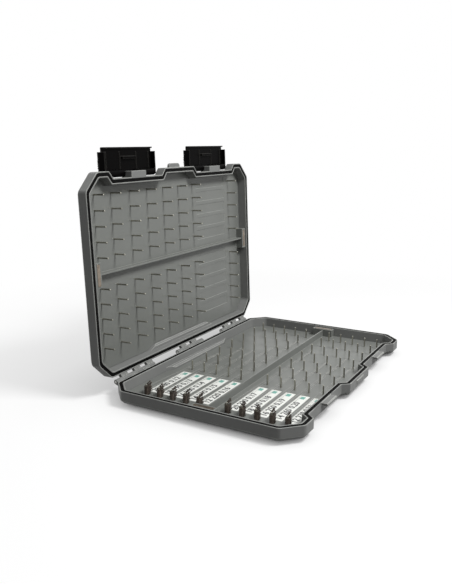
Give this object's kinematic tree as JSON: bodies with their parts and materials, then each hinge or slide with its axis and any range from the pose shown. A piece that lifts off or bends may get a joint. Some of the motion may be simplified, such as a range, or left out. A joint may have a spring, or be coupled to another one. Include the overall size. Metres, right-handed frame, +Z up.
{
  "type": "hooklength box",
  "caption": "Clamshell case for tied fishing hooklengths: lanes of upright pins in both halves, sealed rims, hinged lid and snap latches.",
  "frame": {"origin": "on the ground under the middle of the base tray, which rests on its four feet", "axes": "+X along the lanes, from the hooks' end to the far end; +Y from the latch side to the hinge; +Z up"},
  "size_m": [0.367, 0.2768, 0.2897],
  "materials": {
    "case_plastic": "fine moulded grain",
    "board_plastic": "fine moulded grain",
    "latch_plastic": "satin",
    "seal_rubber": "matte",
    "foot_rubber": "matte",
    "pin_steel": "satin",
    "axle_steel": "satin",
    "magnet_steel": "ground and nickel plated",
    "hook_steel": "dark coated",
    "line_nylon": "clear",
    "label_card": "coated card"
  },
  "bodies": {
    "base": {"base_shell": "case_plastic", "base_seal": "seal_rubber", "base_pin_board": "board_plastic", "base_hook_pins": "pin_steel", "base_length_pins": "pin_steel", "base_magnet_near": "magnet_steel", "base_magnet_far": "magnet_steel", "hinge_pin_near": "axle_steel", "hinge_pin_middle": "axle_steel", "hinge_pin_far": "axle_steel", "foot_near_hinge": "foot_rubber", "foot_near_latch": "foot_rubber", "foot_far_hinge": "foot_rubber", "foot_far_latch": "foot_rubber", "hooks_lane_1": "hook_steel", "hooks_lane_2": "hook_steel", "hooks_lane_3": "hook_steel", "hooks_lane_4": "hook_steel", "hooks_lane_5": "hook_steel", "hooks_lane_6": "hook_steel", "hooks_lane_7": "hook_steel", "hooks_lane_8": "hook_steel", "hooks_lane_9": "hook_steel", "hooks_lane_10": "hook_steel", "lines_lane_1": "line_nylon", "lines_lane_2": "line_nylon", "lines_lane_3": "line_nylon", "lines_lane_4": "line_nylon", "lines_lane_5": "line_nylon", "lines_lane_6": "line_nylon", "lines_lane_7": "line_nylon", "lines_lane_8": "line_nylon", "lines_lane_9": "line_nylon", "lines_lane_10": "line_nylon", "label_lane_1": "label_card", "label_lane_2": "label_card", "label_lane_3": "label_card", "label_lane_4": "label_card", "label_lane_5": "label_card", "label_lane_6": "label_card", "label_lane_7": "label_card", "label_lane_8": "label_card", "label_lane_9": "label_card", "label_lane_10": "label_card"},
    "lid": {"lid_shell": "case_plastic", "lid_seal": "seal_rubber", "lid_pin_board": "board_plastic", "lid_hook_pins": "pin_steel", "lid_length_pins": "pin_steel", "lid_magnet_near": "magnet_steel", "lid_magnet_far": "magnet_steel", "latch_pin_near": "axle_steel", "latch_pin_far": "axle_steel"},
    "latch_near": {"latch_near": "latch_plastic"},
    "latch_far": {"latch_far": "latch_plastic"}
  },
  "joints": [
    {"name": "lid_hinge", "type": "hinge", "parent": "base", "child": "lid", "pos_m": [0, 0.1258, 0.0172], "axis": [1, 0, 0], "range_deg": [0, 91.8]},
    {"name": "latch_near_hinge", "type": "hinge", "parent": "lid", "child": "latch_near", "pos_m": [-0.088, 0.14911, 0.25909], "axis": [1, 0, 0], "range_deg": [0, 90]},
    {"name": "latch_far_hinge", "type": "hinge", "parent": "lid", "child": "latch_far", "pos_m": [0.088, 0.14911, 0.25909], "axis": [1, 0, 0], "range_deg": [0, 90]}
  ]
}
